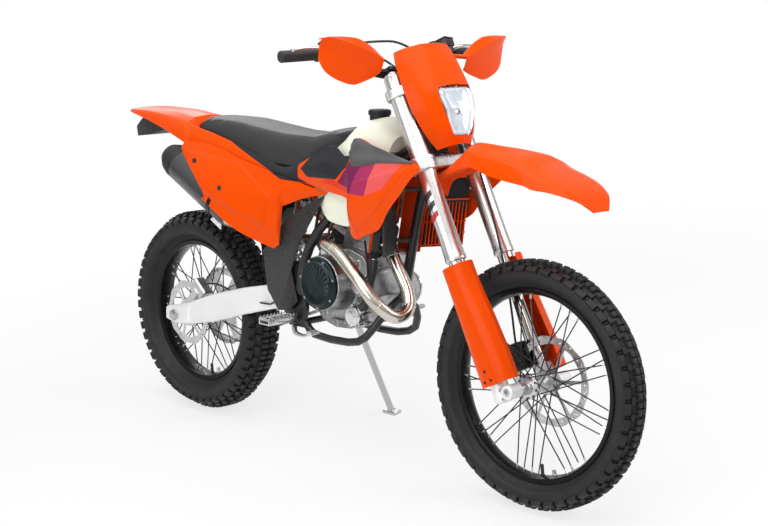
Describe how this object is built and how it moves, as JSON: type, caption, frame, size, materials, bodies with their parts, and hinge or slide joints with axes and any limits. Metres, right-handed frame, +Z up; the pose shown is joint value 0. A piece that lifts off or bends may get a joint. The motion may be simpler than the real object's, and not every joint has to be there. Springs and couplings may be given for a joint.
{
  "type": "enduro motorcycle",
  "caption": "Full-size off-road motorcycle on its side stand: steered fork, spoked wheels with knobby tyres, high mudguards, slim seat and tank, turning wheels, folding stand.",
  "frame": {"origin": "the middle of the box round the parked motorcycle, on the ground plane", "axes": "+X towards the front wheel, +Y to the rider's left (the side stand's side), +Z up; the machine leans to its left on the stand"},
  "size_m": [2.1838, 0.8076, 1.3494],
  "materials": {
    "alloy": "satin cast alloy",
    "anodised": "silver anodised tube",
    "black_plastic": "matt black plastic",
    "cover": "black coated cover",
    "dark_alloy": "black anodised alloy",
    "disc": "ground steel",
    "engine": "grey painted alloy castings",
    "frame": "black powder coat",
    "header": "polished stainless steel",
    "lens": "clear lens over a bright reflector",
    "orange": "gloss orange moulded plastic",
    "rim": "gloss black anodised rim with dark spokes",
    "rubber": "black rubber grips on a black bar",
    "seat": "black grip vinyl over foam",
    "steel": "zinc plated steel",
    "tank": "cream translucent plastic",
    "tyre": "matt moulded rubber with knobs"
  },
  "bodies": {
    "front_wheel": {"front_tyre": "tyre", "front_rim_spokes_and_hub": "rim", "front_brake_disc": "disc"},
    "rear_wheel": {"rear_tyre": "tyre", "rear_rim_spokes_and_hub": "rim", "rear_brake_disc": "disc", "rear_sprocket": "alloy"},
    "front_end": {"front_axle": "steel", "triple_clamps_and_stem": "dark_alloy", "front_caliper": "dark_alloy", "fork_leg_left": "anodised", "fork_guard_left": "orange", "fork_leg_right": "anodised", "fork_guard_right": "orange", "hand_guard_left": "orange", "hand_guard_right": "orange", "handlebar_with_grips": "rubber", "headlight_mask": "orange", "headlight": "lens", "front_fender": "orange"},
    "motorcycle": {"chain": "steel", "swingarm": "alloy", "rear_axle": "steel", "rear_caliper": "dark_alloy", "clutch_cover": "cover", "engine_cases": "engine", "side_panel_left": "orange", "shroud_left": "orange", "radiator_left": "black_plastic", "frame_guard_left": "black_plastic", "side_panel_right": "orange", "shroud_right": "orange", "radiator_right": "black_plastic", "frame_guard_right": "black_plastic", "fuel_tank": "tank", "fuel_cap": "black_plastic", "seat": "seat", "airbox_and_mud_flap": "black_plastic", "subframe": "alloy", "rear_fender": "orange", "tail_light_holder": "black_plastic", "shock_absorber": "alloy", "main_frame": "frame", "cylinder_head": "engine", "header_pipe": "header", "muffler": "dark_alloy"},
    "side_stand_arm": {"side_stand": "steel"}
  },
  "joints": [
    {"name": "steering", "type": "hinge", "parent": "motorcycle", "child": "front_end", "pos_m": [0.3623, -0.04185, 0.94643], "axis": [-0.4533, 0.1431, 0.8798], "range_deg": [-45, 39]},
    {"name": "front_wheel_turn", "type": "hinge", "parent": "front_end", "child": "front_wheel", "pos_m": [0.74021, -0.13605, 0.34718], "axis": [-0.0467, 0.9819, -0.1838], "continuous": true},
    {"name": "rear_wheel_turn", "type": "hinge", "parent": "motorcycle", "child": "rear_wheel", "pos_m": [-0.74672, -0.14107, 0.33711], "axis": [-0.0001, 0.987, -0.1606], "continuous": true},
    {"name": "side_stand_fold", "type": "hinge", "parent": "motorcycle", "child": "side_stand_arm", "pos_m": [-0.1667, 0.02046, 0.34581], "axis": [0.1154, 0.9728, 0.2009], "range_deg": [0, 99]}
  ]
}
